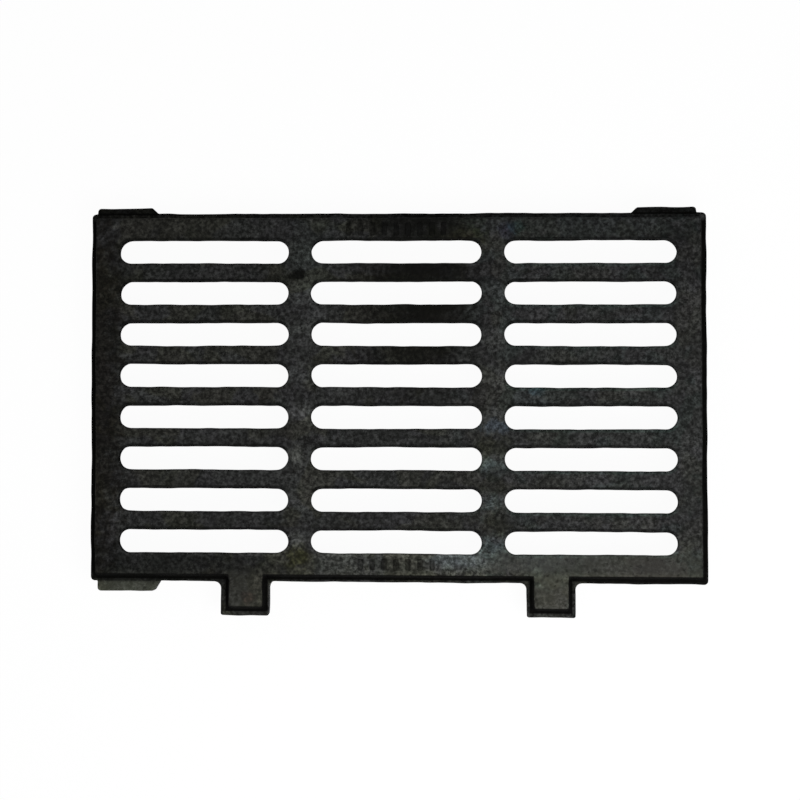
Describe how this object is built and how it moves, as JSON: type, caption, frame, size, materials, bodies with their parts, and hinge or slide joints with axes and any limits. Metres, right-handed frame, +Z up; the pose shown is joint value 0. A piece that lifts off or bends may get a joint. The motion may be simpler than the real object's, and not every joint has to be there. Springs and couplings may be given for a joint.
{
  "type": "drain grate",
  "caption": "rectangular drain grate cast in iron, with rows of long round-ended slots, hinge tongues on the front edge and small lugs at the corners",
  "frame": {"origin": "middle of the bounding box, at the level of the skirt's underside, which is the seat", "axes": "+Z up out of the road face, +X along the long side, -Y towards the hinge tongues"},
  "size_m": [0.6, 0.3986, 0.0412],
  "materials": {
    "iron": "black foundry paint on a sand-cast skin, worn grey on the edges"
  },
  "bodies": {
    "root": {"grate": "iron"}
  },
  "joints": []
}
